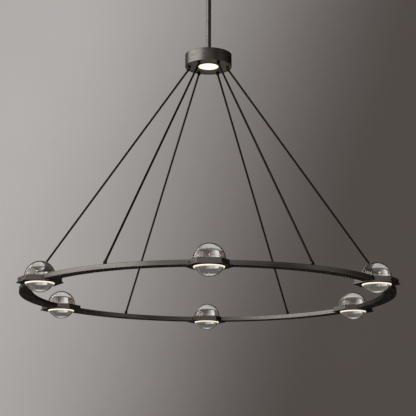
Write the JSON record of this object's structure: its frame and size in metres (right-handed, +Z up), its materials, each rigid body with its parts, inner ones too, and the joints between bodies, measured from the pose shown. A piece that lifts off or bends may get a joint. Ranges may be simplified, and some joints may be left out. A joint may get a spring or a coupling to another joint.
{
  "type": "orb chandelier",
  "caption": "Ring chandelier of clear crystal orbs in hexagonal holders, hung by slim rods from a round lit hub on a stem with a ceiling canopy.",
  "frame": {"origin": "on the ceiling plane, on the stem's axis, midway between the crossbar's two slots", "axes": "+Z up into the ceiling, +X along the crossbar's slots, -Y towards the orb nearest the viewer"},
  "size_m": [1.142, 1.2208, 1.1913],
  "materials": {
    "bronze": "satin dark bronze, brushed along each piece",
    "plain_steel": "zinc plated",
    "crystal": "polished clear crystal",
    "lit_opal": "opal, lit warm white",
    "led_strip": "flexible LED strip, lit",
    "white_plastic": "white moulding",
    "clear_plastic": "translucent moulding",
    "circuit_board": "white solder mask",
    "bare_aluminium": "bare extrusion"
  },
  "bodies": {
    "ceiling_mount": {"ceiling_crossbar": "plain_steel", "hanger_nipple": "plain_steel", "nipple_locknuts": "plain_steel", "canopy_cover": "bronze", "canopy_screws": "bronze", "swivel_top_yoke": "bronze"},
    "swivel_link": {"swivel_block": "bronze", "swivel_pins": "plain_steel"},
    "lower_yoke": {"swivel_bottom_yoke": "bronze"},
    "chandelier": {"stem": "bronze", "set_screws": "plain_steel", "hub_collar": "bronze", "hub_housing": "bronze", "hub_bridge": "plain_steel", "stem_nuts": "plain_steel", "hub_base_plate": "bronze", "hub_screws": "plain_steel", "led_drivers": "white_plastic", "terminal_block": "clear_plastic", "downlight_trim_ring": "bronze", "downlight_diffuser": "lit_opal", "downlight_reflector": "white_plastic", "downlight_led_board": "circuit_board", "downlight_heat_sink": "bare_aluminium", "rod_top_clevises": "bronze", "rod_bottom_clevises": "bronze", "clevis_nuts": "plain_steel", "ring_nut_plates": "plain_steel", "rod_pins": "bronze", "bar_screws": "bronze", "holder_base_plates": "bronze", "plate_screws": "bronze", "seat_light_guides": "lit_opal", "led_rings": "led_strip", "suspension_rod_1": "bronze", "suspension_rod_2": "bronze", "suspension_rod_3": "bronze", "suspension_rod_4": "bronze", "suspension_rod_5": "bronze", "suspension_rod_6": "bronze", "ring_bar_1": "bronze", "ring_bar_2": "bronze", "ring_bar_3": "bronze", "ring_bar_4": "bronze", "ring_bar_5": "bronze", "ring_bar_6": "bronze", "orb_holder_1": "bronze", "orb_holder_2": "bronze", "orb_holder_3": "bronze", "orb_holder_4": "bronze", "orb_holder_5": "bronze", "orb_holder_6": "bronze", "crystal_orb_1": "crystal", "crystal_orb_2": "crystal", "crystal_orb_3": "crystal", "crystal_orb_4": "crystal", "crystal_orb_5": "crystal", "crystal_orb_6": "crystal"}
  },
  "joints": [
    {"name": "swivel_tilt_x", "type": "hinge", "parent": "ceiling_mount", "child": "swivel_link", "pos_m": [0, 0, -0.041], "axis": [1, 0, 0], "range_deg": [-30, 30]},
    {"name": "swivel_tilt_y", "type": "hinge", "parent": "swivel_link", "child": "lower_yoke", "pos_m": [0, 0, -0.061], "axis": [0, 1, 0], "range_deg": [-30, 30]},
    {"name": "stem_turn", "type": "hinge", "parent": "lower_yoke", "child": "chandelier", "pos_m": [0, 0, -0.085], "axis": [0, 0, 1], "range_deg": [-175, 175]}
  ]
}
